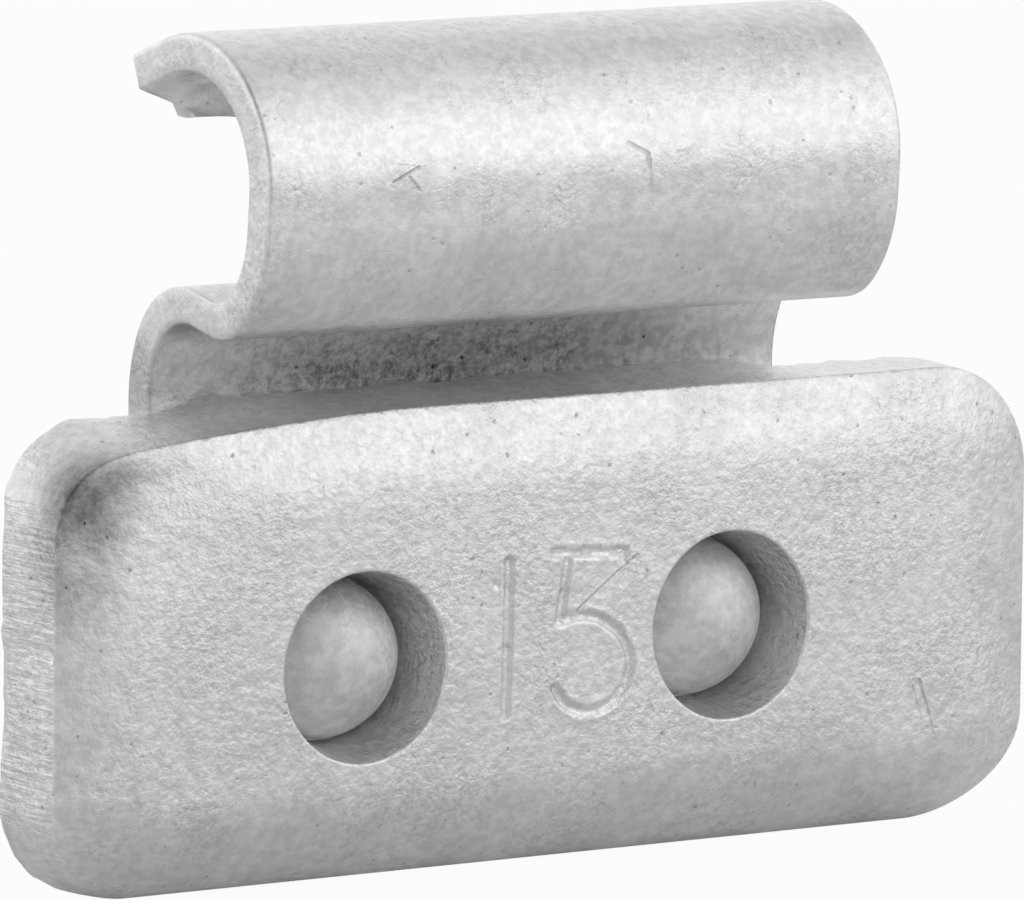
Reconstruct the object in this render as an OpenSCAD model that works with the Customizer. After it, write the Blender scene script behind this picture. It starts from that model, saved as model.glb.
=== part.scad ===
// Clip-on wheel balance weight of 15 g: a stamped steel weight body, a bent spring clip
// that grips the rim edge, and two round-head rivets that hold the clip to the back of the body.
// X runs along the weight, the front face looks towards -Y, and Z is up.
// The origin is on the axis of the hook's round grip, level with the middle of the weight body.
// Sizes are in millimetres.

/* [Weight body] */
// Length of the weight body along the rim
body_len = 31.9; // [28:0.1:60]
// Height of the weight body
body_h = 12.9; // [12:0.1:18]
// Thickness of the weight body, front to back
body_t = 3.4; // [3:0.1:6]
// Corner radius of the outline at the back face
back_corner_r = 2.5; // [1.5:0.1:4]
// Corner radius of the outline where the rolled front edge begins
front_corner_r = 3.1; // [2.5:0.1:4]
// How far back the rolled edge reaches along the top
roll_depth_top = 0.6; // [0.3:0.05:1.5]
// How far back the rolled edge reaches at both ends
roll_depth_end = 1; // [0.3:0.05:2]
// How far back the rolled edge reaches along the bottom
roll_depth_bottom = 2; // [0.5:0.05:2.4]
// How far the rolled edge reaches in over the front face along the straight sides
roll_in_side = 0.9; // [0.3:0.05:1.5]
// How far the rolled edge reaches in over the front face at the corners
roll_in_corner = 1.9; // [0.5:0.05:2.2]

/* [Rivets] */
// Distance between the two rivets
rivet_spacing = 12; // [9:0.1:14]
// How far the rivet pair sits to the right of the middle of the weight body
rivet_side = -0.5; // [-2:0.1:2]
// How far the rivet line lies below the middle of the weight body
rivet_drop = 0.3; // [-1:0.1:1.5]
// Slight slope of the rivet line, up to the right, in degrees
rivet_slope = 1.3; // [-2:0.1:2]
// Diameter of the counterbore round each rivet head
bore_d = 5.2; // [4.8:0.1:6]
// Depth of the counterbore from the front face
bore_depth = 2.4; // [1.8:0.1:2.5]
// Diameter of the round rivet head
head_d = 4.3; // [3.6:0.1:4.6]
// Height of the rivet head above the counterbore floor
head_h = 2.1; // [1.2:0.1:2.3]
// Diameter of the rivet shank
shank_d = 2.6; // [2:0.1:3.2]
// Diameter of the rivet tail, pressed flat behind the clip
tail_d = 4.4; // [3.6:0.1:5]
// Height of the rivet tail
tail_h = 0.8; // [0.5:0.1:1.2]
// Gap left round each shank in its holes
shank_gap = 0.05; // [0.02:0.01:0.2]

/* [Clip] */
// Width of the clip along the rim
clip_w = 20.6; // [18:0.1:26]
// How far the clip sits to the right of the middle of the weight body
clip_side = -1.05; // [-2:0.05:2]
// Thickness of the clip's sheet steel
sheet_t = 1; // [0.8:0.05:1.2]
// Inside radius of the round grip that takes the rim edge
grip_r = 2.9; // [2.5:0.1:4]
// Angle that the round grip covers, in degrees
grip_sweep = 119; // [110:1:125]
// Angle of the straight lip below level, in degrees
lip_slope = 25; // [15:1:35]
// Length of the straight lip beyond the round grip
lip_len = 2.3; // [1.5:0.1:3]
// Length of the straight wall below the round grip
wall_len = 0.9; // [0.5:0.1:2]
// Inside radius of the bend that leads from the wall in to the neck
throat_r = 2.8; // [2:0.1:4]
// Angle of that bend, in degrees
throat_sweep = 41; // [30:1:50]
// Inside radius of the tight bend at the neck
neck_r = 1; // [0.5:0.1:2]
// Angle of the tight bend at the neck, in degrees
neck_sweep = 57; // [45:1:70]
// Length of the straight ramp from the neck up to the hump
ramp_len = 0.9; // [0.5:0.1:2]
// Inside radius of the hump over the top of the leg
hump_r = 1.5; // [0.8:0.1:2.5]
// Angle of the hump, in degrees
hump_sweep = 76; // [65:1:85]
// Inside radius of the easy bend between the hump and the leg
shoulder_r = 3.5; // [2:0.1:5]
// Length of the flat leg behind the weight body
leg_len = 10.3; // [10:0.1:14]
// Distance from the start of the flat leg down to the top of the weight body
leg_lead = 0.15; // [0.05:0.05:2]
// Radius of the two lower corners of the leg
leg_corner_r = 2; // [0.5:0.1:3]
// Width of the sloped relief at each end of the lip
relief_w = 1.5; // [0.5:0.1:3]
// How far the relief shortens the lip at its ends
relief_len = 0.85; // [0.3:0.05:1.2]

/* [Hidden] */
$fn = 96;
// Steps of each rounded corner and of the rolled edge in the body's loft
corner_steps = 9;
roll_steps = 6;
side_steps = 4;
// Overlap of a cutting tool past the face that it cuts
past = 0.5;
// Largest angle between two points of a bend
bend_step = 5;
// Stock left inside the round grip, and how far it runs on beyond both its ends
stock = 0.05;
stock_run = 0.15;
half_t = sheet_t / 2;

// The clip's middle line is walked from the round grip's middle in a plane of Y and Z.
// A heading of 0 degrees looks along +Y and 90 degrees looks along +Z.
function ahead(h) = [cos(h), sin(h)];
function leftward(h) = [-sin(h), cos(h)];
// Centre and end of a bend: side is 1 for a bend to the left and -1 for one to the right
function bend_centre(p, h, r, side) = p + side * r * leftward(h);
function bend_end(p, h, r, side, sweep) =
    bend_centre(p, h, r, side) - side * r * leftward(h + side * sweep);

grip_mid_r = grip_r + half_t;
throat_mid_r = throat_r + half_t;
neck_mid_r = neck_r + half_t;
hump_mid_r = hump_r + half_t;
shoulder_mid_r = shoulder_r + half_t;

lip_heading = 180 - lip_slope;
wall_heading = lip_heading + grip_sweep;
throat_end_heading = wall_heading + throat_sweep;
ramp_heading = throat_end_heading + neck_sweep;
shoulder_heading = ramp_heading - hump_sweep;
leg_heading = 270;

grip_start = -grip_mid_r * leftward(lip_heading);
wall_start = -grip_mid_r * leftward(wall_heading);
throat_start = wall_start + wall_len * ahead(wall_heading);
neck_start = bend_end(throat_start, wall_heading, throat_mid_r, 1, throat_sweep);
ramp_start = bend_end(neck_start, throat_end_heading, neck_mid_r, 1, neck_sweep);
hump_start = ramp_start + ramp_len * ahead(ramp_heading);
shoulder_start = bend_end(hump_start, ramp_heading, hump_mid_r, -1, hump_sweep);
shoulder_sweep = shoulder_heading - leg_heading;
leg_start = bend_end(shoulder_start, shoulder_heading, shoulder_mid_r, -1, shoulder_sweep);
leg_end_z = leg_start[1] - leg_len;

// Places of the weight body and the rivets, worked out from the clip's leg
back_y = leg_start[0] - half_t;
front_y = back_y - body_t;
top_z = leg_start[1] - leg_lead;
mid_z = top_z - body_h / 2;
rivet_z = mid_z - rivet_drop;
floor_y = front_y + bore_depth;
tail_y = back_y + sheet_t;
function rivet_place(end) =
    [rivet_side + end * rivet_spacing / 2 * cos(rivet_slope),
     rivet_z + end * rivet_spacing / 2 * sin(rivet_slope)];

// Outline points of the body as [x, z, outward x, outward z], counter-clockwise from the right end
function side_run(a, b, nx, nz) =
    [for (i = [1 : side_steps - 1]) let (f = i / side_steps) [a[0] + (b[0] - a[0]) * f,
        a[1] + (b[1] - a[1]) * f, nx, nz]];
function corner_run(cx, cz, r, from) =
    [for (i = [0 : corner_steps]) let (a = from + 90 * i / corner_steps)
        [cx + r * cos(a), cz + r * sin(a), cos(a), sin(a)]];
function outline(r) = let (x = body_len / 2, z = body_h / 2) concat(
    corner_run(x - r, z - r, r, 0),
    side_run([x - r, z], [r - x, z], 0, 1),
    corner_run(r - x, z - r, r, 90),
    side_run([-x, z - r], [-x, r - z], -1, 0),
    corner_run(r - x, r - z, r, 180),
    side_run([r - x, -z], [x - r, -z], 0, -1),
    corner_run(x - r, r - z, r, 270),
    side_run([x, r - z], [x, z - r], 1, 0));

// The rolled edge is deeper at the bottom than at the top, and wider at the corners
function roll_depth(p) = roll_depth_end * pow(p[2], 2)
    + (p[3] > 0 ? roll_depth_top : roll_depth_bottom) * pow(p[3], 2);
function roll_in(p) = roll_in_side + (roll_in_corner - roll_in_side) * pow(2 * p[2] * p[3], 2);
function roll_point(p, a) =
    [p[0] - p[2] * roll_in(p) * (1 - cos(a)), front_y + roll_depth(p) * (1 - sin(a)),
     mid_z + p[1] - p[3] * roll_in(p) * (1 - cos(a))];

module body_blank() {
    back = outline(back_corner_r);
    front = outline(front_corner_r);
    count = len(front);
    rings = concat(
        [[for (p = back) [p[0], back_y, mid_z + p[1]]]],
        [for (k = [0 : roll_steps]) [for (p = front) roll_point(p, 90 * k / roll_steps)]]);
    last = len(rings) - 1;
    walls = [for (k = [0 : last - 1]) for (i = [0 : count - 1]) for (half = [0, 1])
        let (j = (i + 1) % count, a = k * count, b = (k + 1) * count)
        half == 0 ? [a + i, b + i, b + j] : [a + i, b + j, a + j]];
    back_middle = (last + 1) * count;
    front_middle = back_middle + 1;
    back_cap = [for (i = [0 : count - 1]) [i, (i + 1) % count, back_middle]];
    front_cap = [for (i = [0 : count - 1])
        [last * count + (i + 1) % count, last * count + i, front_middle]];
    middles = [[0, back_y, mid_z], [0, front_y, mid_z]];
    polyhedron(points = concat([for (ring = rings) for (p = ring) p], middles),
        faces = concat(back_cap, walls, front_cap), convexity = 4);
}

// A round rod along Y from one depth to another
module rod(d, from, to) {
    translate([0, from, 0]) rotate([-90, 0, 0]) cylinder(d = d, h = to - from);
}

module at_rivet(end) {
    place = rivet_place(end);
    translate([place[0], 0, place[1]]) children();
}

module weight_body() {
    color([0.80, 0.80, 0.79]) difference() {
        body_blank();
        for (end = [-1, 1]) at_rivet(end) {
            rod(bore_d, front_y - past, floor_y);
            rod(shank_d + 2 * shank_gap, floor_y - past, back_y + past);
        }
    }
}

// One surface of a bend, as points: off is how far it lies to the left of the middle line
function bend_side(p, h, r, side, sweep, off) =
    let (steps = ceil(sweep / bend_step), centre = bend_centre(p, h, r, side))
    [for (i = [0 : steps]) centre + (off - side * r) * leftward(h + side * sweep * i / steps)];
function backwards(list) = [for (i = [len(list) - 1 : -1 : 0]) list[i]];

// Both surfaces after the round grip, down to the foot of the leg
function lower_side(off) = concat(
    bend_side(throat_start, wall_heading, throat_mid_r, 1, throat_sweep, off),
    bend_side(neck_start, throat_end_heading, neck_mid_r, 1, neck_sweep, off),
    bend_side(hump_start, ramp_heading, hump_mid_r, -1, hump_sweep, off),
    bend_side(shoulder_start, shoulder_heading, shoulder_mid_r, -1, shoulder_sweep, off),
    [leg_start + leg_len * ahead(leg_heading) + off * leftward(leg_heading)]);

// The clip's side view. The round grip keeps a little stock on its inside, which its true bore removes
module clip_section() {
    lip_tip = grip_start - lip_len * ahead(lip_heading);
    to_lip = half_t * leftward(lip_heading);
    to_wall = half_t * leftward(wall_heading);
    inside = concat(
        [lip_tip + to_lip, grip_start - stock_run * ahead(lip_heading) + to_lip],
        bend_side(grip_start, lip_heading, grip_mid_r, 1, grip_sweep, half_t + stock),
        [wall_start + stock_run * ahead(wall_heading) + to_wall],
        lower_side(half_t));
    outside = concat(
        [lip_tip - to_lip],
        bend_side(grip_start, lip_heading, grip_mid_r, 1, grip_sweep, -half_t),
        lower_side(-half_t));
    polygon(concat(inside, backwards(outside)));
}

// The sloped relief at one end of the lip, cut square through the sheet
module lip_relief(end) {
    tip = grip_start - lip_len * ahead(lip_heading);
    translate([clip_side + end * clip_w / 2, tip[0], tip[1]])
        rotate([-lip_slope, 0, 0])
        translate([0, 0, -sheet_t]) linear_extrude(2 * sheet_t)
        polygon([[end * past, past], [-end * relief_w, past], [-end * relief_w, 0],
            [0, -relief_len], [end * past, -relief_len]]);
}

// The rounding of one lower corner of the leg
module leg_rounding(end) {
    x = clip_side + end * (clip_w / 2 - leg_corner_r);
    z = leg_end_z + leg_corner_r;
    translate([x, back_y - past, z]) rotate([-90, 0, 0])
        linear_extrude(sheet_t + 2 * past) difference() {
            translate([end > 0 ? 0 : -leg_corner_r - past, 0]) square(leg_corner_r + past);
            circle(r = leg_corner_r);
        }
}

module rim_clip() {
    color([0.72, 0.72, 0.71]) difference() {
        translate([clip_side - clip_w / 2, 0, 0]) rotate([90, 0, 90])
            linear_extrude(clip_w, convexity = 6) clip_section();
        translate([clip_side - clip_w / 2 - past, 0, 0]) rotate([0, 90, 0])
            cylinder(r = grip_r, h = clip_w + 2 * past);
        for (end = [-1, 1]) {
            lip_relief(end);
            leg_rounding(end);
            at_rivet(end) rod(shank_d + 2 * shank_gap, back_y - past, tail_y + past);
        }
    }
}

// Half of a round cap of a given width and height, from its foot up, for turning about Y
module cap_half(d, h) {
    ball_r = (pow(d / 2, 2) + pow(h, 2)) / (2 * h);
    intersection() {
        translate([0, h - ball_r]) circle(r = ball_r);
        square([d / 2, h]);
    }
}

module rivet(end) {
    at_rivet(end) {
        translate([0, floor_y, 0]) rotate([90, 0, 0]) rotate_extrude() cap_half(head_d, head_h);
        rod(shank_d, floor_y, tail_y);
        translate([0, tail_y, 0]) rotate([-90, 0, 0]) rotate_extrude() cap_half(tail_d, tail_h);
    }
}

module rivet_left() {
    color([0.66, 0.66, 0.65]) rivet(-1);
}

module rivet_right() {
    color([0.66, 0.66, 0.65]) rivet(1);
}

weight_body();
rim_clip();
rivet_left();
rivet_right();
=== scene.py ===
"""Finished look of a clip-on wheel balance weight: stamped body, bent clip and two rivets.

Lengths are in millimetres until a mesh is made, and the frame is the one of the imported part:
X along the weight, the front face towards -Y, Z up, the origin on the axis of the hook's grip.
"""
import math

import bpy
import numpy as np
from mathutils import Matrix, Vector, geometry, noise


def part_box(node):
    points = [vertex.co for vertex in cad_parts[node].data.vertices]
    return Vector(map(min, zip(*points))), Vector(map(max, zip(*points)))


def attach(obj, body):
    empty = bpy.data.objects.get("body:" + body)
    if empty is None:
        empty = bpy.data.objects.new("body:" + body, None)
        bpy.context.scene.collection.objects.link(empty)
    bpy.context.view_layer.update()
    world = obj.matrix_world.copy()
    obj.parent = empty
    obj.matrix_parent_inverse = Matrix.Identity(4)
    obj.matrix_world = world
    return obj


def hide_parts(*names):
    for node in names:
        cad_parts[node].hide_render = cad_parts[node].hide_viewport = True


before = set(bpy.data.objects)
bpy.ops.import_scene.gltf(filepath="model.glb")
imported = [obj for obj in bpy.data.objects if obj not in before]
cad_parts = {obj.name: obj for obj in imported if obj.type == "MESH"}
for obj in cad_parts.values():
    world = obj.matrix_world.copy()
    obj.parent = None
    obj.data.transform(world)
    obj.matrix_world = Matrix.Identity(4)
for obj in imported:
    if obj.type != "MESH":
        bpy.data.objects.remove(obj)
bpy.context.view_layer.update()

MM = 0.001


def box_mm(node):
    low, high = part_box(node)
    return np.array(low) / MM, np.array(high) / MM


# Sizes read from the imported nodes
BODY_LOW, BODY_HIGH = box_mm("weight_body")
CLIP_LOW, CLIP_HIGH = box_mm("rim_clip")
HALF_LEN = (BODY_HIGH[0] - BODY_LOW[0]) / 2
HALF_H = (BODY_HIGH[2] - BODY_LOW[2]) / 2
MID_Z = (BODY_HIGH[2] + BODY_LOW[2]) / 2
FRONT_Y = BODY_LOW[1]
BACK_Y = BODY_HIGH[1]
CLIP_MID_X = (CLIP_LOW[0] + CLIP_HIGH[0]) / 2
CLIP_HALF_W = (CLIP_HIGH[0] - CLIP_LOW[0]) / 2


def rivet_middle(node):
    low, high = box_mm(node)
    return (low[0] + high[0]) / 2, (low[2] + high[2]) / 2


RIVETS = {"rivet_left": rivet_middle("rivet_left"), "rivet_right": rivet_middle("rivet_right")}

# Sizes as in the part, with the edge, the lip and the relief as the photograph refines them
BACK_CORNER_R = 2.5
FRONT_CORNER_R = 3.1
ROLL_DEPTH_TOP = 0.6
ROLL_DEPTH_END = 0.68
ROLL_DEPTH_BOTTOM = 2.0
BORE_R = 2.6
BORE_DEPTH = 2.4
HEAD_H = 2.1
SHANK_R = 1.3
SHANK_GAP = 0.05
TAIL_R = 2.2
TAIL_H = 0.8
SHEET_T = 1.0
GRIP_R = 2.9
GRIP_SWEEP = 114
LIP_SLOPE = 20
LIP_LEN = 2.3
WALL_LEN = 0.9
THROAT_R = 2.8
THROAT_SWEEP = 41
NECK_R = 1.0
NECK_SWEEP = 57
RAMP_LEN = 0.9
HUMP_R = 1.5
HUMP_SWEEP = 76
SHOULDER_R = 3.5
LEG_CORNER_R = 2.0
RELIEF_W = 1.75
RELIEF_LEN = 0.6
# The middle of the lip is bent down towards its free edge
DIP_RUN = 2.25
DIP_ANGLE = 74

# How far the rolled edge reaches in over the front face, as the photograph shows it
ROLL_IN_TOP = 2.4
ROLL_IN_END = 2.9
ROLL_IN_BOTTOM = 2.8
# The upper left corner is drawn in: its crease runs lower, and the face behind it sinks
DRAWN_IN = 0.6
DRAWN_FROM = -4.5
DRAWN_TO = -13.3
DRAWN_BEND = 1.6
DRAWN_CORNER = (-14.2, 4.6)
DRAWN_REACH = 2.4
DRAWN_DEPTH = 0.34
# The front face is slightly crowned over its height, and waves softly
CROWN = 0.14
WAVE_H = 0.014
WAVE_SIZE = 2.6
RIPPLE_H = 0.005
RIPPLE_SIZE = 0.7

# Camera, fitted to the photograph
CAMERA_AZIMUTH = -34.2
CAMERA_ELEVATION = 7.6
CAMERA_ROLL = 0.6
CAMERA_DISTANCE = 312.0
SENSOR_W = 36.0
IMAGE_W = 1024
PIXELS_PER_MM = 37.0
# What the middle of the picture looks at, measured from the middle between the rivets
AIM_FROM_RIVETS = (-1.345, 5.469)


# Meshes

SMOOTH_ANGLE = 38


def new_piece(name, points, faces, material):
    """Make a mesh from points in millimetres, shade it smooth and let it ride on the root body."""
    mesh = bpy.data.meshes.new(name)
    mesh.from_pydata([tuple(p) for p in np.asarray(points) * MM], [], faces)
    mesh.validate()
    mesh.polygons.foreach_set("use_smooth", [True] * len(mesh.polygons))
    mesh.set_sharp_from_angle(angle=math.radians(SMOOTH_ANGLE))
    mesh.materials.append(material)
    piece = bpy.data.objects.new(name, mesh)
    bpy.context.scene.collection.objects.link(piece)
    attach(piece, "root")
    return piece


def grain(point, size, seed):
    """Smooth noise from -1 to 1 with lumps of a given size; each seed gives another pattern."""
    return noise.noise(Vector(point) / size + Vector((seed * 7.3, seed * 3.1, seed * 5.7)))


def ring_quads(first, second, count, flip=False):
    """Quads between two closed rings of the same count, given by their first point numbers."""
    quads = []
    for i in range(count):
        j = (i + 1) % count
        quad = (first + i, second + i, second + j, first + j)
        quads.append(quad[::-1] if flip else quad)
    return quads


# The body's outline, with outward directions

CORNER_STEPS = 22
LONG_STEPS = 104
SHORT_STEPS = 28


def outline(radius):
    """Rounded rectangle as rows of x, z, outward x and outward z, counter-clockwise."""
    inner_x = HALF_LEN - radius
    inner_z = HALF_H - radius
    rows = []
    corners = ((inner_x, inner_z, 0), (-inner_x, inner_z, 90),
               (-inner_x, -inner_z, 180), (inner_x, -inner_z, 270))
    for number, (cx, cz, start) in enumerate(corners):
        for i in range(CORNER_STEPS + 1):
            a = math.radians(start + 90 * i / CORNER_STEPS)
            rows.append((cx + radius * math.cos(a), cz + radius * math.sin(a),
                         math.cos(a), math.sin(a)))
        next_x, next_z, _ = corners[(number + 1) % 4]
        a = math.radians(start + 90)
        nx, nz = round(math.cos(a)), round(math.sin(a))
        steps = LONG_STEPS if number % 2 == 0 else SHORT_STEPS
        for i in range(1, steps):
            f = i / steps
            rows.append((cx + (next_x - cx) * f + radius * nx,
                         cz + (next_z - cz) * f + radius * nz, nx, nz))
    return np.array(rows)


def round_blend(row, top, end, bottom):
    """A size that changes smoothly round the corners of the outline."""
    return end * row[2] ** 2 + (top if row[3] > 0 else bottom) * row[3] ** 2


def roll_depth(row):
    return round_blend(row, ROLL_DEPTH_TOP, ROLL_DEPTH_END, ROLL_DEPTH_BOTTOM)


def roll_in(row):
    return round_blend(row, ROLL_IN_TOP, ROLL_IN_END, ROLL_IN_BOTTOM)


def roll_drop(row, run):
    """Depth of the rolled edge's flat arc at a distance in from the crease."""
    reach, depth = roll_in(row), roll_depth(row)
    radius = (reach ** 2 + depth ** 2) / (2 * depth)
    return radius - math.sqrt(radius ** 2 - (reach - run) ** 2)


def drawn_crease(row):
    """The front outline's point with the upper left corner drawn in."""
    x, z, nx, nz = row
    share = min(1.0, max(0.0, (DRAWN_FROM - x) / (DRAWN_FROM - DRAWN_TO)))
    return x, z - DRAWN_IN * share ** DRAWN_BEND * max(0.0, nz) ** 2, nx, nz


def broad_sag(x, z):
    """How far the whole front lies back at a place: the crown, the drawn corner and soft waves."""
    corner = math.hypot(x - DRAWN_CORNER[0], z - DRAWN_CORNER[1]) / DRAWN_REACH
    sag = CROWN * (z / HALF_H) ** 2 + DRAWN_DEPTH * math.exp(-corner ** 2)
    return sag + WAVE_H * grain((x, 0, z), WAVE_SIZE, 1)


# The stamped number, as strokes in millimetres from the middle of the body

DIGIT_DEPTH = 0.1
DIGIT_FLAT = 0.07
DIGIT_HALF_W = 0.17
# Pushed-up metal beside each stroke, with its middle and its spread as shares of the half width
DIGIT_LIP = 0.014
DIGIT_LIP_OUT = 1.35
DIGIT_LIP_SPREAD = 0.4
# The finer mesh round the strokes: its pitch, its reach and the half size of its field
FINE_PITCH = 0.075
FINE_REACH = 0.42
FINE_FIELD = 3.2
ONE = [(-1.87, 2.13), (-1.96, -2.08)]
FIVE_BAR = [(1.90, 1.92), (1.93, 2.12), (-0.38, 2.25)]
FIVE_STEM = [(0.06, 2.02), (-0.21, 0.36)]
FIVE_BOWL = [(-0.21, 0.36), (0.42, 0.46), (1.05, 0.36), (1.74, -0.08), (2.12, -0.76),
             (1.99, -1.53), (1.48, -2.02), (0.72, -2.20), (0.04, -1.94), (-0.34, -1.48)]
PIT = (-2.28, 1.51)
PIT_R = 0.16
PIT_DEPTH = 0.08


def smooth_line(points, steps=8):
    """Catmull-Rom curve through the points."""
    p = [np.array(q) for q in points]
    p = [2 * p[0] - p[1]] + p + [2 * p[-1] - p[-2]]
    curve = []
    for i in range(1, len(p) - 2):
        for k in range(steps):
            t = k / steps
            curve.append(0.5 * (2 * p[i] + (p[i + 1] - p[i - 1]) * t
                                + (2 * p[i - 1] - 5 * p[i] + 4 * p[i + 1] - p[i + 2]) * t ** 2
                                + (3 * p[i] - p[i - 1] - 3 * p[i + 1] + p[i + 2]) * t ** 3))
    curve.append(p[-2])
    return curve


STROKES = [ONE, FIVE_BAR, FIVE_STEM, smooth_line(FIVE_BOWL)]
SEGMENTS = np.array([(a, b) for line in STROKES for a, b in zip(line[:-1], line[1:])])


def stroke_distance(flat):
    """Distance of each x, z point to the nearest stroke of the number."""
    start = SEGMENTS[:, 0]
    along = SEGMENTS[:, 1] - start
    away = flat[:, None] - start
    share = np.clip((away * along).sum(2) / (along ** 2).sum(1), 0, 1)
    return np.linalg.norm(away - share[..., None] * along, axis=2).min(1)


def ease(value, low, high):
    t = np.clip((value - low) / (high - low), 0, 1)
    return t * t * (3 - 2 * t)


# The bore's mouth is slightly rounded, and its wall narrows towards the foot, where it nearly
# meets the rivet's head
BORE_ROUND = 0.07
BORE_FOOT_R = 2.27


def face_depth(flat):
    """Depth below the front plane of points on the front face, given as x and z from its middle."""
    d = stroke_distance(flat)
    depth = DIGIT_DEPTH * (1 - ease(d, DIGIT_FLAT, DIGIT_HALF_W))
    from_lip = (d / DIGIT_HALF_W - DIGIT_LIP_OUT) / DIGIT_LIP_SPREAD
    depth -= DIGIT_LIP * np.exp(-from_lip ** 2)
    pit = np.hypot(flat[:, 0] - PIT[0], flat[:, 1] - PIT[1])
    depth += PIT_DEPTH * (1 - ease(pit, 0.0, PIT_R))
    for x, z in RIVETS.values():
        beyond = np.hypot(flat[:, 0] - x, flat[:, 1] - (z - MID_Z)) - BORE_R
        near = np.clip(1 - beyond / BORE_ROUND, 0, 1)
        depth += BORE_ROUND * (1 - np.sqrt(1 - near ** 2))
    swell = [broad_sag(x, z) + RIPPLE_H * grain((x, 0, z), RIPPLE_SIZE, 2) for x, z in flat]
    return depth + np.array(swell)


# The body

BORE_STEPS = 120
BORE_ROWS = 12
# Distances of the rings of points round a hole in the front face and in the back face
RIM_RINGS = (0.0, 0.02, 0.045, 0.07, 0.13, 0.24, 0.42)
BACK_RINGS = (0.0, 0.4)
FACE_PITCH = 0.36
BACK_PITCH = 0.9
# Height of a row of equal triangles as a share of their side
ROW_SHARE = 0.866
# Rows across the rolled edge and across the sheared side, as shares of each
ROLL_ROWS = (0.0, 0.012, 0.03, 0.06, 0.1, 0.16, 0.24, 0.33, 0.43, 0.54, 0.66, 0.78, 0.9)
SIDE_ROWS = (0.0, 0.03, 0.08, 0.14, 0.22, 0.3, 0.4, 0.5, 0.6, 0.7, 0.8, 0.9, 0.97)
CREASE_ROUND = 0.05
# How far in from the crease the front's sag reaches its full depth
SAG_RUN = 1.1
# The sheared side is ragged at the back edge, and lightly uneven all over
RAGGED_H = 0.1
RAGGED_RUN = 0.35
RAGGED_SIZE = 1.1
RAGGED_FINE_SIZE = 0.35
RAGGED_BACK = 0.6
SHEAR_H = 0.014
SHEAR_SIZE = 0.4
SHEAR_STRETCH = 0.15
# The torn ridge that stands up along the back of the top face
RIDGE_H = 0.32
RIDGE_FROM = -10.9
RIDGE_TO = 9.5
RIDGE_RISE = 1.2
RIDGE_FALL = 2.5
RIDGE_RUN = 1.3
# A crack across the left end
CRACK_Z = 0.55
CRACK_W = 0.09
CRACK_DEPTH = 0.11
CRACK_WANDER = 0.25
CRACK_WAVE = 1.5


def hex_points(pitch, seed, jitter=0.25):
    """Shaken grid over the face, as x and z from its middle."""
    rng = np.random.default_rng(seed)
    rows = []
    for j in range(int(2 * HALF_H / (pitch * ROW_SHARE)) + 1):
        z = -HALF_H + j * pitch * ROW_SHARE
        for i in range(int(2 * HALF_LEN / pitch) + 1):
            rows.append((-HALF_LEN + (i + 0.5 * (j % 2)) * pitch, z))
    rows = np.array(rows)
    return rows + rng.uniform(-jitter, jitter, rows.shape) * pitch


def clear_inside(flat, ring, clear):
    """Which points lie inside a closed ring and well away from its edges."""
    following = np.roll(ring, -1, axis=0)
    x, z = flat[:, None, 0], flat[:, None, 1]
    crosses = (ring[:, 1] > z) != (following[:, 1] > z)
    rise = np.where(following[:, 1] == ring[:, 1], 1.0, following[:, 1] - ring[:, 1])
    at = ring[:, 0] + (z - ring[:, 1]) * (following[:, 0] - ring[:, 0]) / rise
    inside = (crosses & (x < at)).sum(1) % 2 == 1
    along = following - ring
    beyond = flat[:, None] - ring
    share = np.clip((beyond * along).sum(2) / (along ** 2).sum(1), 0, 1)
    away = np.linalg.norm(beyond - share[..., None] * along, axis=2).min(1)
    return inside & (away > clear)


def bore_ring(place, radius):
    x, z = place
    a = np.linspace(0, 2 * math.pi, BORE_STEPS, endpoint=False)
    return np.stack([x + radius * np.cos(a), z - MID_Z + radius * np.sin(a)], axis=1)


def filled_face(edge, hole_r, rings, pitch, fine):
    """Points and triangles of a flat face with two round holes.

    The edge's points come first, then the rings round each hole, then the loose ones.
    """
    parts = [edge]
    edges = [(i, (i + 1) % len(edge)) for i in range(len(edge))]
    for place in RIVETS.values():
        first = sum(len(p) for p in parts)
        edges += [(first + i, first + (i + 1) % BORE_STEPS) for i in range(BORE_STEPS)]
        parts.append(bore_ring(place, hole_r))
        for gap in rings[1:]:
            parts.append(bore_ring(place, hole_r + gap))
    clear = rings[-1] + 0.5 * pitch
    loose = hex_points(pitch, 5)
    keep = clear_inside(loose, edge, 0.5 * pitch)
    for x, z in RIVETS.values():
        keep &= np.hypot(loose[:, 0] - x, loose[:, 1] - (z - MID_Z)) > hole_r + clear
    if fine:
        keep &= stroke_distance(loose) > FINE_REACH + 0.1
        close = hex_points(FINE_PITCH, 6, 0.1)
        close = close[np.abs(close).max(1) < FINE_FIELD]
        pit_near = np.hypot(close[:, 0] - PIT[0], close[:, 1] - PIT[1]) < 2 * PIT_R
        close = close[(stroke_distance(close) < FINE_REACH) | pit_near]
        parts.append(close)
    parts.append(loose[keep])
    flat = np.concatenate(parts)
    result = geometry.delaunay_2d_cdt([Vector(p) for p in flat], edges, [], 0, 1e-7)
    if len(result[0]) != len(flat):
        raise RuntimeError("the face's points were merged")
    middles = np.array([flat[list(tri)].mean(0) for tri in result[2]])
    solid = clear_inside(middles, edge, 0.0)
    for x, z in RIVETS.values():
        beyond = np.hypot(middles[:, 0] - x, middles[:, 1] - (z - MID_Z))
        solid &= beyond > hole_r * math.cos(math.pi / BORE_STEPS) - 1e-6
    return flat, [tuple(tri) for tri, kept in zip(result[2], solid) if kept]


def first_of_bore(edge_count, number, ring_count):
    """Number of the first point round one of a filled face's holes."""
    return edge_count + number * ring_count * BORE_STEPS


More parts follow.
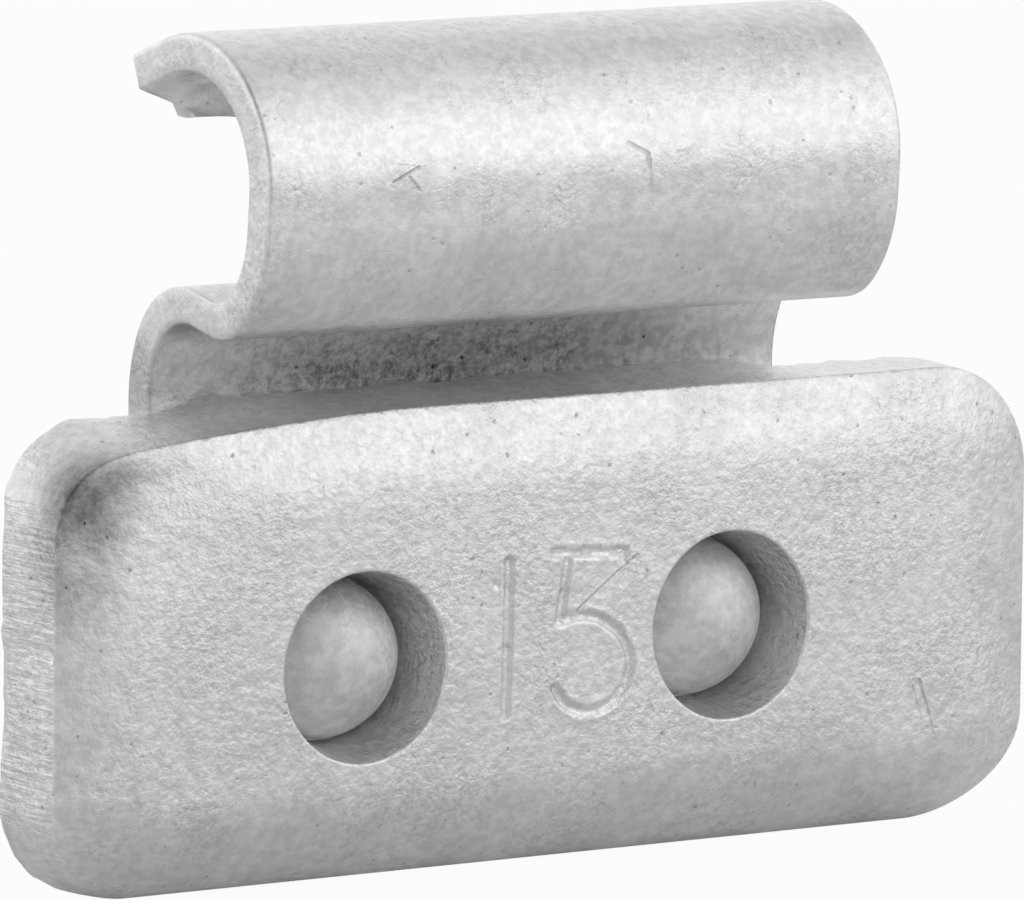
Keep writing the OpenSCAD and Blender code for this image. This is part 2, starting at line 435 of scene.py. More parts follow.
def lower_points(flat, y):
    """Full points from x, z points round the body's middle and their y."""
    return np.stack([flat[:, 0], np.broadcast_to(y, len(flat)), MID_Z + flat[:, 1]], axis=1)


def side_point(b, f, share):
    """A point of the sheared side, from the back face (0) to the crease (1)."""
    x = b[0] + (f[0] - b[0]) * share
    z = b[1] + (f[1] - b[1]) * share
    crease_y = FRONT_Y + roll_depth(f)
    y = BACK_Y + (crease_y - BACK_Y) * share
    torn = math.exp(-(BACK_Y - y) / RAGGED_RUN)
    ragged = grain((x, 0, z), RAGGED_SIZE, 3) + 0.5 * grain((x, 0, z), RAGGED_FINE_SIZE, 4)
    out = RAGGED_H * torn * (ragged - RAGGED_BACK)
    out += SHEAR_H * grain((x, SHEAR_STRETCH * y, z), SHEAR_SIZE, 5) * min(1.0, 4 * share)
    ridge = float(ease(x, RIDGE_FROM, RIDGE_FROM + RIDGE_RISE))
    ridge *= 1 - float(ease(x, RIDGE_TO - RIDGE_FALL, RIDGE_TO))
    ridge *= max(0.0, b[3]) * math.exp(-((BACK_Y - y) / RIDGE_RUN) ** 2)
    out += RIDGE_H * ridge * (1 + 0.2 * grain((x, 0, 0), 0.9, 6) + 0.1 * grain((x, 0, 0), 0.3, 6))
    crack = (z - CRACK_Z - CRACK_WANDER * grain((x, y, 0), CRACK_WAVE, 8)) / CRACK_W
    out -= CRACK_DEPTH * max(0.0, -b[2]) * math.exp(-crack ** 2)
    return x + out * b[2], y, MID_Z + z + out * b[3]


def roll_point(f, share):
    """A point of the rolled edge, from the crease (0) to the flat front face (1)."""
    run = roll_in(f) * share
    x, z = f[0] - f[2] * run, f[1] - f[3] * run
    near = max(0.0, 1 - run / CREASE_ROUND)
    sag = broad_sag(x, z) * float(ease(run, 0.0, SAG_RUN))
    y = FRONT_Y + roll_drop(f, run) + sag + 0.5 * CREASE_ROUND * near ** 2
    return x, y, MID_Z + z


def bore_profile():
    """Radius and depth pairs down a bore's wall and in over its floor."""
    wall_run = BORE_DEPTH - BORE_ROUND
    profile = []
    for k in range(1, BORE_ROWS + 1):
        share = k / BORE_ROWS
        profile.append((BORE_R + (BORE_FOOT_R - BORE_R) * share, BORE_ROUND + wall_run * share))
    profile.append((SHANK_R + SHANK_GAP, BORE_DEPTH))
    return profile


def make_body(material):
    front = np.array([drawn_crease(row) for row in outline(FRONT_CORNER_R)])
    back = outline(BACK_CORNER_R)
    count = len(front)
    blocks = []
    faces = []

    def add(points):
        first = sum(len(b) for b in blocks)
        blocks.append(np.asarray(points))
        return first

    # The sheared sides run from the back face to the crease where the rolled edge begins
    starts = [add([side_point(b, f, share) for b, f in zip(back, front)]) for share in SIDE_ROWS]
    # The rolled edge leads from the crease over on to the front face
    for share in ROLL_ROWS:
        starts.append(add([roll_point(f, share) for f in front]))
    edge = np.array([(f[0] - f[2] * roll_in(f), f[1] - f[3] * roll_in(f)) for f in front])
    flat, triangles = filled_face(edge, BORE_R, RIM_RINGS, FACE_PITCH, True)
    face_first = add(lower_points(flat, FRONT_Y + face_depth(flat)))
    starts.append(face_first)
    for a, b in zip(starts[:-1], starts[1:]):
        faces += ring_quads(a, b, count, flip=True)
    faces += [tuple(face_first + i for i in tri) for tri in triangles]

    # The back face, with a hole for each shank
    back_flat, back_triangles = filled_face(back[:, :2], SHANK_R + SHANK_GAP, BACK_RINGS,
                                            BACK_PITCH, False)
    back_first = add(lower_points(back_flat[count:], BACK_Y))

    def back_number(i):
        return starts[0] + i if i < count else back_first + i - count

    faces += [tuple(back_number(i) for i in tri[::-1]) for tri in back_triangles]

    # Each bore: wall, floor and the hole for the shank
    for number, place in enumerate(RIVETS.values()):
        rings = [face_first + first_of_bore(count, number, len(RIM_RINGS))]
        for radius, depth in bore_profile():
            rings.append(add(lower_points(bore_ring(place, radius), FRONT_Y + depth)))
        rings.append(back_number(first_of_bore(count, number, len(BACK_RINGS))))
        for a, b in zip(rings[:-1], rings[1:]):
            faces += ring_quads(a, b, BORE_STEPS)
    piece = new_piece("stamped_body", np.concatenate(blocks), faces, material)
    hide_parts("weight_body")
    return piece


# The clip's middle line, walked from the lip's free edge

def ahead(heading):
    a = math.radians(heading)
    return np.array([math.cos(a), math.sin(a)])


def leftward(heading):
    a = math.radians(heading)
    return np.array([-math.sin(a), math.cos(a)])


BEND_PITCH = 0.14
STRAIGHT_PITCH = 0.2


def clip_path():
    """Stations along the clip: y, z, heading in degrees, and the length walked so far."""
    half = SHEET_T / 2
    heading = 180.0 - LIP_SLOPE
    place = -(GRIP_R + half) * leftward(heading) - LIP_LEN * ahead(heading)
    stations = [(place[0], place[1], heading, 0.0)]
    walked = 0.0
    steps = [("straight", LIP_LEN, 0), ("bend", GRIP_R + half, GRIP_SWEEP),
             ("straight", WALL_LEN, 0), ("bend", THROAT_R + half, THROAT_SWEEP),
             ("bend", NECK_R + half, NECK_SWEEP), ("straight", RAMP_LEN, 0),
             ("bend", HUMP_R + half, -HUMP_SWEEP)]
    last_heading = heading + GRIP_SWEEP + THROAT_SWEEP + NECK_SWEEP - HUMP_SWEEP
    steps += [("bend", SHOULDER_R + half, 270 - last_heading), ("leg", None, 0)]
    for kind, size, sweep in steps:
        if kind == "leg":
            size = place[1] - CLIP_LOW[2]
        length = size if kind != "bend" else size * math.radians(abs(sweep))
        pitch = BEND_PITCH if kind == "bend" or not walked else STRAIGHT_PITCH
        count = max(2, math.ceil(length / pitch))
        start, first = place.copy(), heading
        for i in range(1, count + 1):
            f = i / count
            if kind == "bend":
                side = math.copysign(1.0, sweep)
                centre = start + side * size * leftward(first)
                heading = first + sweep * f
                place = centre - side * size * leftward(heading)
            else:
                place = start + size * f * ahead(heading)
            stations.append((place[0], place[1], heading, walked + length * f))
        walked += length
    return stations


# The clip's cross-section: a thin plate with sharp edges inside and rounded ones outside

CLIP_COLUMNS = 92
INSIDE_EDGE_R = 0.05
OUTSIDE_EDGE_R = 0.16
# The lip's free edge is torn, with a nub at its left end
TORN_EDGE = 0.09
TORN_RUN = 0.22
NUB_LEN = 0.42
NUB_RUN = 0.12
NUB_FROM = -0.97
# The sheet is lightly uneven, and rougher at the torn edge
SHEET_WAVE_H = 0.01
SHEET_WAVE_SIZE = 2.2
TORN_BUMP_H = 0.03
TORN_BUMP_SIZE = 0.2
HOLE_STEPS = 48


def section_loop():
    """Points x share and x inset, and distance left of the middle line, round one section."""
    half = SHEET_T / 2
    shares = np.linspace(-1, 1, CLIP_COLUMNS)
    loop = [(s, INSIDE_EDGE_R, half) for s in shares]

    def turn(side, radius, level, angles):
        return [(side, radius * (1 - math.cos(a)), level + radius * math.sin(a)) for a in angles]

    quarter = math.pi / 2
    inner_turn = np.linspace(quarter, 0, 4)[1:]
    outer_turn = np.linspace(0, -quarter, 6)
    right = turn(1, INSIDE_EDGE_R, half - INSIDE_EDGE_R, inner_turn)
    right += [(1, 0.0, 0.15), (1, 0.0, -0.1)]
    right += turn(1, OUTSIDE_EDGE_R, OUTSIDE_EDGE_R - half, outer_turn)
    loop += right
    loop += [(s, OUTSIDE_EDGE_R, -half) for s in shares[::-1][1:-1]]
    loop += [(-1, inset, level) for _, inset, level in right[::-1]]
    return loop


def dipped_path(stations):
    """The stations again, with the lip bent down as in its middle."""
    start = max(i for i, station in enumerate(stations) if station[3] < DIP_RUN)
    path = list(stations)
    place = np.array(stations[start][:2])
    for i in range(start - 1, -1, -1):
        share = 1 - stations[i][3] / DIP_RUN
        heading = stations[i][2] - DIP_ANGLE * min(1.0, share)
        place = place - (stations[i + 1][3] - stations[i][3]) * ahead(heading)
        path[i] = (place[0], place[1], heading, stations[i][3])
    return path


def make_clip(material):
    stations = clip_path()
    dipped = dipped_path(stations)
    loop = section_loop()
    total = stations[-1][3]
    points = []
    for plain, bent in zip(stations, dipped):
        walked = plain[3]
        width = CLIP_HALF_W
        if walked < RELIEF_LEN:
            width -= RELIEF_W * (1 - walked / RELIEF_LEN)
        left = total - walked
        if left < LEG_CORNER_R:
            width -= LEG_CORNER_R - math.sqrt(LEG_CORNER_R ** 2 - (LEG_CORNER_R - left) ** 2)
        torn = math.exp(-walked / TORN_RUN)
        for share, inset, level in loop:
            x = share * (width - inset)
            mixed = float(ease(CLIP_HALF_W - abs(x), 0.0, RELIEF_W))
            y, z, heading = (a + (b - a) * mixed for a, b in zip(plain[:3], bent[:3]))
            rough = grain((x, level, 0), 0.8, 7) + 0.6 * grain((x, level, 0), 0.25, 8)
            bump = SHEET_WAVE_H * grain((x, y, z), SHEET_WAVE_SIZE, 9)
            bump += TORN_BUMP_H * torn * grain((x, level, walked), TORN_BUMP_SIZE, 10)
            line = ahead(heading) * TORN_EDGE * torn * rough + leftward(heading) * (level + bump)
            if share < NUB_FROM:
                x -= NUB_LEN * math.exp(-(walked / NUB_RUN) ** 2)
            points.append((CLIP_MID_X + x, y + line[0], z + line[1]))
    count = len(loop)
    faces = []
    for i in range(len(stations) - 1):
        faces += ring_quads(i * count, (i + 1) * count, count, flip=True)
    faces += end_cap(0, count, False)
    faces += end_cap((len(stations) - 1) * count, count, True)
    piece = new_piece("bent_clip", points, faces, material)
    cut_rivet_holes(piece)
    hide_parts("rim_clip")
    return piece


def end_cap(first, count, flip):
    """Close one end of the strip with quads that run across the sheet."""
    columns = CLIP_COLUMNS
    side = (count - 2 * columns + 2) // 2
    inner = [first + i for i in range(columns)]
    outer_start = first + columns + side
    outer = [outer_start + i for i in range(columns - 2)][::-1]
    outer = [first + count - side] + outer + [outer_start - 1]
    faces = []
    for i in range(columns - 1):
        faces.append((inner[i], inner[i + 1], outer[i + 1], outer[i]))
    right = [first + i for i in range(columns - 1, columns + side)]
    left = [first + count - side + i for i in range(side)] + [first]
    faces.append(tuple(right))
    faces.append(tuple(left))
    return [f if flip else f[::-1] for f in faces]


def cut_rivet_holes(piece):
    """Cut the two rivet holes through the leg."""
    radius = SHANK_R + SHANK_GAP
    around = np.linspace(0, 2 * math.pi, HOLE_STEPS, endpoint=False)
    low, high = tuple(range(HOLE_STEPS)), tuple(range(2 * HOLE_STEPS - 1, HOLE_STEPS - 1, -1))
    for number, (x, z) in enumerate(RIVETS.values()):
        points = [(x + radius * math.cos(a), y, z + radius * math.sin(a))
                  for y in (BACK_Y - 0.5 * SHEET_T, BACK_Y + 1.5 * SHEET_T) for a in around]
        faces = ring_quads(0, HOLE_STEPS, HOLE_STEPS) + [low, high]
        mesh = bpy.data.meshes.new("hole_cutter")
        mesh.from_pydata([tuple(c * MM for c in p) for p in points], [], faces)
        cutter = bpy.data.objects.new("hole_cutter", mesh)
        bpy.context.scene.collection.objects.link(cutter)
        cut = piece.modifiers.new("rivet_hole_%d" % number, "BOOLEAN")
        cut.object = cutter
        cut.operation = "DIFFERENCE"
        cut.solver = "EXACT"
        graph = bpy.context.evaluated_depsgraph_get()
        baked = bpy.data.meshes.new_from_object(piece.evaluated_get(graph))
        piece.modifiers.remove(cut)
        piece.data = baked
        bpy.data.objects.remove(cutter)


# The rivets

LATHE_STEPS = 112
HEAD_ROWS = 30
TAIL_ROWS = 12
# The head's dome fills the bore's foot, and its top was pressed slightly upwards
DOME_R = 2.25
HEAD_RAISED = 0.16
# How far from round a rivet is, as a share of its radius
UNEVEN = 0.006
UNEVEN_SIZE = 1.2


def cap_profile(radius, height, rows):
    """Radius and height pairs of a round cap, from its foot to its top."""
    ball = (radius ** 2 + height ** 2) / (2 * height)
    start = math.acos(min(1.0, (ball - height) / ball))
    return [(ball * math.sin(start * (1 - i / rows)),
             ball * math.cos(start * (1 - i / rows)) - (ball - height)) for i in range(rows + 1)]


def make_rivet(node, name, material, seed):
    x0, z0 = RIVETS[node]
    floor_y = FRONT_Y + BORE_DEPTH
    tail_y = BACK_Y + SHEET_T
    head = [(r, floor_y - h) for r, h in cap_profile(DOME_R, HEAD_H, HEAD_ROWS)][::-1]
    tail = [(r, tail_y + h) for r, h in cap_profile(TAIL_R, TAIL_H, TAIL_ROWS)]
    profile = head[1:] + [(SHANK_R, floor_y), (SHANK_R, tail_y)] + tail[:-1]
    points = [(x0, head[0][1], z0 + HEAD_RAISED)]
    for radius, y in profile:
        raised = HEAD_RAISED * (1 - float(ease(y, FRONT_Y, floor_y)))
        for i in range(LATHE_STEPS):
            a = 2 * math.pi * i / LATHE_STEPS
            u, v = radius * math.cos(a), radius * math.sin(a)
            swell = 1 + UNEVEN * grain((u, y, v), UNEVEN_SIZE, seed)
            points.append((x0 + u * swell, y, z0 + v * swell + raised))
    points.append((x0, tail[-1][1], z0))
    last = len(points) - 1
    faces = [(0, 1 + i, 1 + (i + 1) % LATHE_STEPS) for i in range(LATHE_STEPS)]
    for k in range(len(profile) - 1):
        faces += ring_quads(1 + k * LATHE_STEPS, 1 + (k + 1) * LATHE_STEPS, LATHE_STEPS)
    foot = 1 + (len(profile) - 1) * LATHE_STEPS
    faces += [(last, foot + (i + 1) % LATHE_STEPS, foot + i) for i in range(LATHE_STEPS)]
    piece = new_piece(name, points, faces, material)
    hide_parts(node)
    return piece


# Materials

# Lump sizes of the metal's patterns
BLOTCH_SIZE = 2.4
PATCH_SIZE = 3.3
CRYSTAL_SIZE = 0.34
FROST_SIZE = 0.13
SPECK_CELL = 0.3
SPECK_SHARE = 0.06
HAIRLINE_CELL = 1.2
HAIRLINE_W = 0.035
HAIRLINE_SHARE = 0.52
STREAK_SIZE = 0.16
STREAK_STRETCH = (1.0, 9.0, 1.0)
# How far each pattern moves the tone, from its low to its high end, and each mark darkens it
BLOTCH_TONE = (-0.04, 0.04)
CRYSTAL_TONE = (-0.07, 0.06)
FROST_TONE = (-0.09, 0.07)
DARKEST_TONE = 0.03
SPECK_TONE = 0.3
HAIRLINE_TONE = 0.16
SCRATCH_TONE = 0.25
# Heights of the frosted grain, the marks and the shear streaks in millimetres
CRYSTAL_H = 0.035
FROST_H = (0.012, 0.03)
SPECK_H = 0.015
HAIRLINE_H = 0.012
SCRATCH_H = 0.02
STREAK_H = 0.05


class Graph:
    """Short way to add and link shader nodes."""

    def __init__(self, tree):
        self.tree = tree

    def add(self, kind, values=(), **settings):
        node = self.tree.nodes.new(kind)
        for key, value in settings.items():
            setattr(node, key, value)
        for key, value in dict(values).items():
            if isinstance(value, bpy.types.NodeSocket):
                self.tree.links.new(value, node.inputs[key])
            else:
                node.inputs[key].default_value = value
        return node

    def math(self, operation, a, b=0.0, clamp=False):
        return self.add("ShaderNodeMath", {0: a, 1: b}, operation=operation, use_clamp=clamp).outputs[0]

    def vector(self, operation, a, b=(0, 0, 0), out=0):
        return self.add("ShaderNodeVectorMath", {0: a, 1: b}, operation=operation).outputs[out]

    def noise(self, where, size_mm, detail=3.0, roughness=0.55, stretch=None):
        """Noise with lumps of about size_mm; stretch divides the frequency along X, Y and Z."""
        scale = 1 / (size_mm * MM)
        if stretch:
            where = self.vector("DIVIDE", where, stretch)
        values = {"Vector": where, "Scale": scale, "Detail": detail, "Roughness": roughness}
        return self.add("ShaderNodeTexNoise", values).outputs["Fac"]

    def remap(self, value, low, high, to_low=0.0, to_high=1.0):
        values = {"Value": value, "From Min": low, "From Max": high, "To Min": to_low,
                  "To Max": to_high}
        return self.add("ShaderNodeMapRange", values, interpolation_type="SMOOTHSTEP").outputs[0]

    def line_mask(self, where, start, end, width):
        """1 on a straight line between two points in millimetres, 0 away from it."""
        a = Vector(start) * MM
        along = Vector(end) * MM - a
        away = self.vector("SUBTRACT", where, tuple(a))
        dot = self.vector("DOT_PRODUCT", away, tuple(along), out=1)
        share = self.math("DIVIDE", dot, along.length_squared, clamp=True)
        foot = self.add("ShaderNodeVectorMath", {0: tuple(along), "Scale": share},
                        operation="SCALE").outputs[0]
        rest = self.vector("SUBTRACT", away, foot)
        distance = self.vector("LENGTH", rest, out=1)
        return self.remap(distance, 0.3 * width * MM, width * MM, 1.0, 0.0)


def scratch_mask(g, where, scratches):
    """The strongest of several straight scratches, each a start, an end, a width and a strength."""
    total = None
    for start, end, width, strength in scratches:
        mask = g.math("MULTIPLY", g.line_mask(where, start, end, width), strength)
        total = mask if total is None else g.math("MAXIMUM", total, mask)
    return total


def hairlines(g, where):
    """Thin curved lines, as on handled plated sheet, in some places only."""
    wobble = g.add("ShaderNodeTexNoise", {"Vector": where, "Scale": 1 / (0.9 * MM), "Detail": 3.0})
    shift = g.vector("MULTIPLY", wobble.outputs["Color"], (1.1 * MM,) * 3)
    edges = g.add("ShaderNodeTexVoronoi", {"Vector": g.vector("ADD", where, shift),
                                           "Scale": 1 / (HAIRLINE_CELL * MM)},
                  feature="DISTANCE_TO_EDGE")
    width = HAIRLINE_W / HAIRLINE_CELL
    line = g.remap(edges.outputs["Distance"], 0.3 * width, width, 1.0, 0.0)
    some = g.remap(g.noise(where, 1.7, 2.0), HAIRLINE_SHARE, HAIRLINE_SHARE + 0.1)
    return g.math("MULTIPLY", line, some)


def specks(g, where):
    """Small dark spots of uneven form in some cells of a fine pattern."""
    wobble = g.add("ShaderNodeTexNoise", {"Vector": where, "Scale": 3 / (SPECK_CELL * MM),
                                          "Detail": 2.0})
    shift = g.vector("MULTIPLY", wobble.outputs["Color"], (0.5 * SPECK_CELL * MM,) * 3)
    bits = g.add("ShaderNodeTexVoronoi", {"Vector": g.vector("ADD", where, shift),
                                          "Scale": 1 / (SPECK_CELL * MM)})
    spot = g.remap(bits.outputs["Distance"], 0.05, 0.28, 1.0, 0.0)
    pick = g.add("ShaderNodeSeparateColor", {0: bits.outputs["Color"]}).outputs[0]
    return g.math("MULTIPLY", spot, g.remap(pick, SPECK_SHARE, SPECK_SHARE + 0.05, 1.0, 0.0))


def paint_light_and_shade(g, where, tone, painted_light_and_shade):
    """Paint shade into the tone softly round given places, or paint light where the amount is below 0."""
    for middle, reach, darker in painted_light_and_shade:
        away = g.vector("SUBTRACT", where, tuple(c * MM for c in middle))
        away = g.vector("DIVIDE", away, tuple(r * MM for r in reach))
        painted_amount = g.remap(g.vector("LENGTH", away, out=1), 0.25, 1.0, darker, 0.0)
        tone = g.math("SUBTRACT", tone, painted_amount)
    return tone


def shear_streaks(g, where):
    """Height of the streaks that run across the sheared sides."""
    facing = g.add("ShaderNodeNewGeometry").outputs["True Normal"]
    sideways = g.math("ABSOLUTE", g.add("ShaderNodeSeparateXYZ", {0: facing}).outputs[1])
    on_side = g.remap(sideways, 0.1, 0.3, 1.0, 0.0)
    streak = g.noise(where, STREAK_SIZE, 3.0, stretch=STREAK_STRETCH)
    return g.math("MULTIPLY", g.math("MULTIPLY", streak, on_side), STREAK_H)


def plated_metal(name, shade, roughness, look, scratches=(), painted_light_and_shade=(), shear=False):
    """Zinc-plated steel: frosted grain, blotches, dark specks, hairlines and single scratches.

    look gives the strength of the frosted grain, the hairlines and the specks; painted_light_and_shade
    lists places where shade is painted into the colour, as a middle, a reach in millimetres and how much
    darker they are; a negative amount paints light.
    """
    frost, line_level, speck_level = look
    material = bpy.data.materials.new(name)
    material.use_nodes = True
    tree = material.node_tree
    shader = tree.nodes["Principled BSDF"]
    g = Graph(tree)
    where = g.add("ShaderNodeTexCoord").outputs["Object"]
    blotch = g.noise(where, BLOTCH_SIZE, 4.0)
    patch = g.remap(g.noise(where, PATCH_SIZE, 2.0), 0.42, 0.62)
    crystal = g.noise(where, CRYSTAL_SIZE, 2.0, 0.6)
    frosting = g.noise(where, FROST_SIZE, 3.0, 0.65)
    lines = g.math("MULTIPLY", hairlines(g, where), line_level)
    spots = g.math("MULTIPLY", specks(g, where), speck_level)

    tone = g.math("ADD", g.remap(blotch, 0.3, 0.7, *BLOTCH_TONE), g.remap(crystal, 0.3, 0.7, *CRYSTAL_TONE))
    mottle = g.math("MULTIPLY", g.remap(frosting, 0.32, 0.68, *FROST_TONE), patch)
    tone = g.math("ADD", g.math("ADD", tone, mottle), shade)
    height = g.math("MULTIPLY", crystal, CRYSTAL_H * frost)
    fine = g.remap(patch, 0.0, 1.0, FROST_H[0] * frost, FROST_H[1] * frost)
    height = g.math("ADD", height, g.math("MULTIPLY", frosting, fine))
    for marks, darker, depth in ((spots, SPECK_TONE, SPECK_H), (lines, HAIRLINE_TONE, HAIRLINE_H)):
        tone = g.math("SUBTRACT", tone, g.math("MULTIPLY", marks, darker))
        height = g.math("SUBTRACT", height, g.math("MULTIPLY", marks, depth))
    if scratches:
        mask = scratch_mask(g, where, scratches)
        tone = g.math("SUBTRACT", tone, g.math("MULTIPLY", mask, SCRATCH_TONE))
        height = g.math("SUBTRACT", height, g.math("MULTIPLY", mask, SCRATCH_H))
    if shear:
        height = g.math("ADD", height, shear_streaks(g, where))
    # Painted shade and painted light are added to the tone here.
    tone = g.math("MAXIMUM", paint_light_and_shade(g, where, tone, painted_light_and_shade), DARKEST_TONE)

    colour = g.add("ShaderNodeCombineColor", {0: tone, 1: tone, 2: tone})
    tree.links.new(colour.outputs[0], shader.inputs["Base Color"])
    shader.inputs["Metallic"].default_value = 1.0
    rough = g.math("ADD", g.remap(blotch, 0.3, 0.7, -0.05, 0.05), g.remap(frosting, 0.3, 0.7, -0.05, 0.07))
    tree.links.new(g.math("ADD", rough, roughness), shader.inputs["Roughness"])
    bump = g.add("ShaderNodeBump", {"Height": height, "Distance": MM, "Strength": 1.0})
    tree.links.new(bump.outputs["Normal"], shader.inputs["Normal"])
    return material


# Scratches with their ends, width and strength: on the front face as x and height above its
# middle, and on the hook as full places
FACE_SCRATCHES = [
    ((11.93, -2.18), (12.30, -3.20), 0.07, 1.0), ((12.30, -3.20), (12.66, -4.35), 0.07, 0.9),
    ((11.70, -2.35), (12.05, -3.30), 0.05, 0.7), ((12.05, -3.30), (12.50, -4.20), 0.05, 0.7),
    ((-15.3, -0.6), (-14.85, -1.44), 0.07, 0.9), ((-14.85, -1.44), (-14.36, -2.29), 0.07, 0.9),
    ((2.35, 2.02), (1.9, 1.75), 0.06, 0.8), ((1.9, 1.75), (0.35, 0.62), 0.05, 0.7),
]
CLIP_SCRATCHES = [
    ((-2.10, -3.88, -0.34), (-1.50, -2.99, -2.5), 0.07, 0.8),
    ((0.20, -3.88, 0.75), (0.80, -3.88, 0.41), 0.10, 0.8),
    ((0.80, -3.88, 0.41), (0.99, -3.77, -1.0), 0.10, 0.8),
    ((-7.4, -3.90, 0.1), (-6.6, -3.88, 0.45), 0.06, 0.9),
    ((-6.9, -3.90, 0.2), (-6.6, -3.90, -0.15), 0.06, 0.9),
]
# Painted shade: the sunken corner of the front face is darker, standing in for its dark reflection,
# and the leg under the hook is darker, where the hook's shade falls. Painted light: the lip's underside is
# lighter.
BODY_PAINTED_SHADE = [((-14.9, FRONT_Y, MID_Z + 4.9), (2.4, 3.0, 2.2), 0.40),
               ((-15.4, FRONT_Y, MID_Z + 3.4), (2.0, 3.0, 3.2), 0.26)]
CLIP_PAINTED_SHADE_AND_LIGHT = [((-1.0, 2.8, -5.6), (16.0, 3.4, 2.6), 0.62),
               ((-13.6, 4.2, 1.9), (2.6, 2.4, 2.2), -0.14)]


def body_scratches():
    return [((a[0], FRONT_Y, MID_Z + a[1]), (b[0], FRONT_Y, MID_Z + b[1]), width, strength)
            for a, b, width, strength in FACE_SCRATCHES]


# Floor, light and camera

WHITE = (1.0, 1.0, 1.0, 1.0)
FLOOR_SIZE = 0.6
FLOOR_SHADE = (0.66, 0.66, 0.66, 1.0)
FLOOR_ROUGHNESS = 0.9
# How far the floor is turned into plain white for the camera, and for what the metal mirrors
FLOOR_WHITENING = 0.95
FLOOR_IN_METAL = 0.1
# The studio round the metal: a bright backdrop behind, a dim room in front, a dimmer ceiling
BACKDROP_LEVEL = 1.06
ROOM_LEVEL = 0.14
BACKDROP_SPAN = (-0.35, 0.35)
CEILING_SHARE = 0.62
CEILING_SPAN = (0.25, 0.9)
# Soft lights in it: direction, level, and the cosines at which each is full and has faded out
SOFT_LIGHTS = [((0.54, -0.70, 0.44), 0.86, 0.88, 0.28),
               ((0.85, -0.5, -0.05), 0.55, 0.95, 0.6),
               ((-0.95, -0.3, -0.05), 1.0, 0.93, 0.7)]
# A round lamp in front of the hook
LAMP_DIRECTION = (0.54, -0.74, 0.40)
LAMP_TARGET = (0, 0, -0.008)
LAMP_DISTANCE = 0.09
LAMP_SIZE = 0.075
LAMP_POWER = 0.0056
CLIP_START = 0.01
CLIP_END = 10.0


def make_floor():
    low_z = min(BODY_LOW[2], CLIP_LOW[2]) * MM
    half = FLOOR_SIZE / 2
    mesh = bpy.data.meshes.new("floor")
    mesh.from_pydata([(-half, -half, low_z), (half, -half, low_z), (half, half, low_z),
                      (-half, half, low_z)], [], [(0, 1, 2, 3)])
    floor = bpy.data.objects.new("floor", mesh)
    bpy.context.scene.collection.objects.link(floor)
    material = bpy.data.materials.new("pale_floor")
    material.use_nodes = True
    tree = material.node_tree
    g = Graph(tree)
    base = tree.nodes["Principled BSDF"]
    base.inputs["Base Color"].default_value = FLOOR_SHADE
    base.inputs["Roughness"].default_value = FLOOR_ROUGHNESS
    path = g.add("ShaderNodeLightPath")
    glow = g.add("ShaderNodeEmission", {"Color": WHITE, "Strength": 1.0})
    in_metal = g.math("MAXIMUM", path.outputs["Is Glossy Ray"], path.outputs["Is Transmission Ray"])
    in_view = g.math("MULTIPLY", path.outputs["Is Camera Ray"], FLOOR_WHITENING)
    seen = g.math("MAXIMUM", in_view, g.math("MULTIPLY", in_metal, FLOOR_IN_METAL))
    mix = g.add("ShaderNodeMixShader", {0: seen, 1: base.outputs[0], 2: glow.outputs[0]})
    tree.links.new(mix.outputs[0], tree.nodes["Material Output"].inputs[0])
    mesh.materials.append(material)


def make_world():
    """The studio as a soft pattern over all directions, plain white where the camera looks."""
    world = bpy.data.worlds.new("studio")
    bpy.context.scene.world = world
    world.use_nodes = True
    tree = world.node_tree
    g = Graph(tree)
    background = tree.nodes["Background"]
    direction = g.add("ShaderNodeTexCoord").outputs["Generated"]
    _, behind, up = g.add("ShaderNodeSeparateXYZ", {0: direction}).outputs
    level = g.remap(behind, *BACKDROP_SPAN, ROOM_LEVEL, BACKDROP_LEVEL)
    level = g.math("MULTIPLY", level, g.remap(up, *CEILING_SPAN, 1.0, CEILING_SHARE))
    for towards, full_level, core, rim in SOFT_LIGHTS:
        towards = tuple(Vector(towards).normalized())
        near = g.vector("DOT_PRODUCT", direction, towards, out=1)
        level = g.math("MAXIMUM", level, g.remap(near, rim, core, 0.0, full_level))
    path = g.add("ShaderNodeLightPath")
    plain = g.math("MULTIPLY", level, g.math("SUBTRACT", 1.0, path.outputs["Is Camera Ray"]))
    strength = g.math("ADD", plain, path.outputs["Is Camera Ray"])
    background.inputs["Color"].default_value = WHITE
    tree.links.new(strength, background.inputs["Strength"])


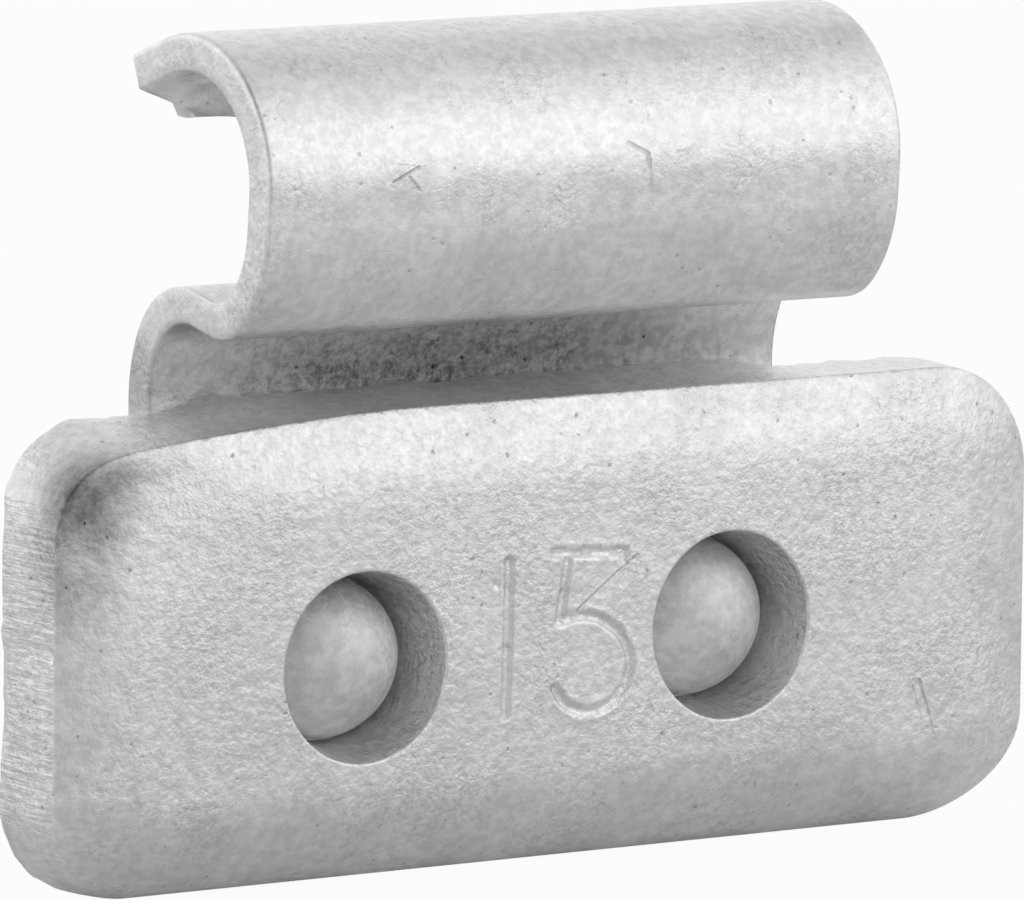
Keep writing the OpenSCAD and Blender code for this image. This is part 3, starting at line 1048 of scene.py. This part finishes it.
def make_lamp():
    light = bpy.data.lights.new("key_light", "AREA")
    light.shape = "DISK"
    light.size = LAMP_SIZE
    light.energy = LAMP_POWER
    lamp = bpy.data.objects.new("key_light", light)
    away = Vector(LAMP_DIRECTION).normalized()
    lamp.location = Vector(LAMP_TARGET) + away * LAMP_DISTANCE
    lamp.rotation_mode = "QUATERNION"
    lamp.rotation_quaternion = away.to_track_quat("Z", "Y")
    bpy.context.scene.collection.objects.link(lamp)


def make_camera():
    azimuth = math.radians(CAMERA_AZIMUTH)
    elevation = math.radians(CAMERA_ELEVATION)
    back = Vector((math.sin(azimuth) * math.cos(elevation),
                   -math.cos(azimuth) * math.cos(elevation), math.sin(elevation)))
    middle = np.mean(list(RIVETS.values()), axis=0)
    aim = Vector((middle[0] + AIM_FROM_RIVETS[0], FRONT_Y, middle[1] + AIM_FROM_RIVETS[1]))
    data = bpy.data.cameras.new("camera")
    data.sensor_width = SENSOR_W
    data.lens = PIXELS_PER_MM * CAMERA_DISTANCE * SENSOR_W / IMAGE_W
    data.clip_start = CLIP_START
    data.clip_end = CLIP_END
    camera = bpy.data.objects.new("camera", data)
    camera.location = (aim + back * CAMERA_DISTANCE) * MM
    camera.rotation_mode = "QUATERNION"
    roll = Matrix.Rotation(math.radians(CAMERA_ROLL), 4, "Z").to_quaternion()
    camera.rotation_quaternion = back.to_track_quat("Z", "Y") @ roll
    bpy.context.scene.collection.objects.link(camera)
    bpy.context.scene.camera = camera


# The whole scene

make_camera()
make_floor()
make_world()
make_lamp()

# The body's metal carries painted shade; the clip's carries painted shade and painted light.
body_metal = plated_metal("zinc_body", shade=0.86, roughness=0.42, look=(1.3, 0.25, 1.0),
                          scratches=body_scratches(), painted_light_and_shade=BODY_PAINTED_SHADE, shear=True)
clip_metal = plated_metal("zinc_clip", shade=0.86, roughness=0.40, look=(0.6, 0.35, 0.8),
                          scratches=CLIP_SCRATCHES, painted_light_and_shade=CLIP_PAINTED_SHADE_AND_LIGHT)
rivet_metal = plated_metal("zinc_rivet", shade=0.86, roughness=0.68, look=(0.3, 0.3, 0.3))

make_body(body_metal)
make_clip(clip_metal)
make_rivet("rivet_left", "round_rivet_left", rivet_metal, seed=11)
make_rivet("rivet_right", "round_rivet_right", rivet_metal, seed=12)

bpy.context.scene.view_settings.view_transform = "Standard"


def corners(bounds):
    return [[float(v) for v in corner] for corner in bounds]
